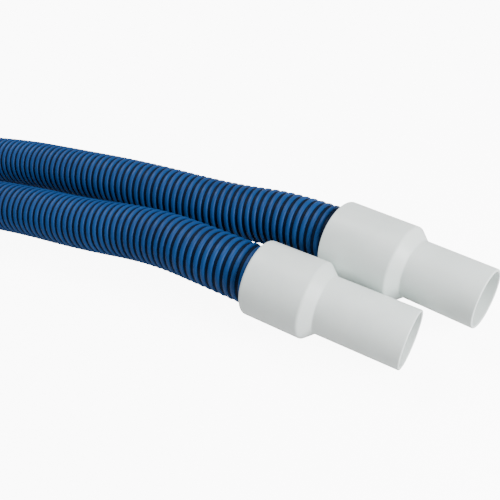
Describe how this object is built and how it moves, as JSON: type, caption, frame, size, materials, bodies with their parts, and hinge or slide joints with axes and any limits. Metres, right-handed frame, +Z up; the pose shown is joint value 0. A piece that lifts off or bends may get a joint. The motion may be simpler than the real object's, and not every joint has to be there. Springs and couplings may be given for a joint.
{
  "type": "pool vacuum hose",
  "caption": "Spiral-wound pool vacuum hose with a fixed cuff on one end and a swivel cuff on the other, lying on the ground and running back to a tied round coil.",
  "frame": {"origin": "on the ground under the middle of the two cuffs' bounding box; the hose and its coil are cord nodes and aren't counted", "axes": "+Z up from the ground; +X and -Y towards the cuffs' open mouths, which point 44 and 52 degrees from +X towards -Y; the hose runs back towards -X and +Y"},
  "size_m": [1.2247, 0.5709, 0.1357],
  "materials": {
    "cuff_plastic": "satin white, moulded",
    "sleeve_plastic": "satin light grey, moulded",
    "hose_plastic": "blue raised spiral over a black web, satin",
    "gasket_rubber": "matte black",
    "tie_fabric": "woven black hook-and-loop strap"
  },
  "bodies": {
    "hose": {"hose_fixed_lead": "hose_plastic", "hose_swivel_lead": "hose_plastic", "hose_coil": "hose_plastic", "coil_tie_1": "tie_fabric", "coil_tie_2": "tie_fabric", "coil_tie_3": "tie_fabric", "fixed_cuff": "cuff_plastic", "fixed_cuff_gasket": "gasket_rubber", "swivel_sleeve": "sleeve_plastic"},
    "swivel": {"swivel_cuff": "cuff_plastic", "swivel_retaining_ring": "cuff_plastic", "swivel_gasket": "gasket_rubber"}
  },
  "joints": [
    {"name": "swivel_turn", "type": "hinge", "parent": "hose", "child": "swivel", "pos_m": [-0.0001, 0.0481, 0.0288], "axis": [0.6184, -0.7859, 0], "continuous": true}
  ]
}
